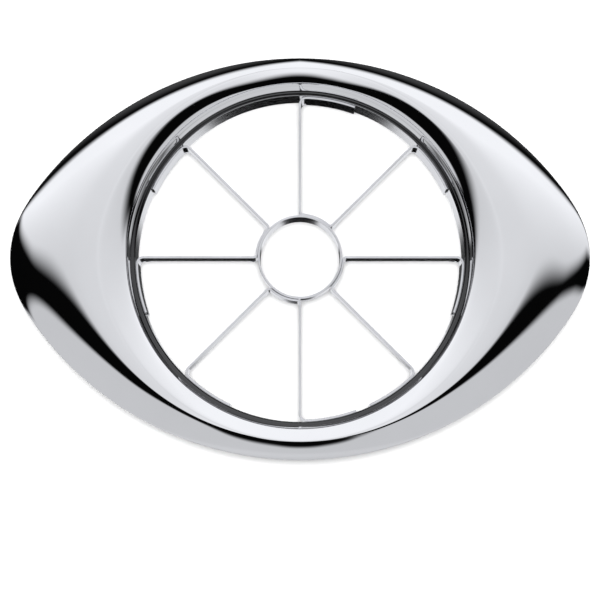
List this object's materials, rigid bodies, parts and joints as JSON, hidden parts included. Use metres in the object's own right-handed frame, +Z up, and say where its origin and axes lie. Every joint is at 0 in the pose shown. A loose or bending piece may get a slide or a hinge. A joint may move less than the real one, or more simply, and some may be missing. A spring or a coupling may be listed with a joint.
{
  "type": "apple divider",
  "caption": "Hand-pressed apple divider: eye-shaped polished grip frame round a cutting ring with radial blades and a round core cutter.",
  "frame": {"origin": "on the cutting ring's axis, in the plane that the ring stands on", "axes": "+X towards one grip end, along the longest extent; +Z up along the ring's axis, out of the mouth"},
  "size_m": [0.1618, 0.113, 0.018],
  "materials": {
    "polished_shell": "mirror polished stainless steel",
    "satin_shell": "fine satin polished stainless steel",
    "ring_steel": "polished stainless steel",
    "blade_steel": "ground blade steel"
  },
  "bodies": {
    "root": {"frame_top_shell": "polished_shell", "frame_underside": "satin_shell", "cutting_ring": "ring_steel", "core_cutter": "blade_steel", "blade_strip_left": "blade_steel", "blade_strip_front": "blade_steel", "blade_strip_back": "blade_steel", "blade_strip_right": "blade_steel"}
  },
  "joints": []
}
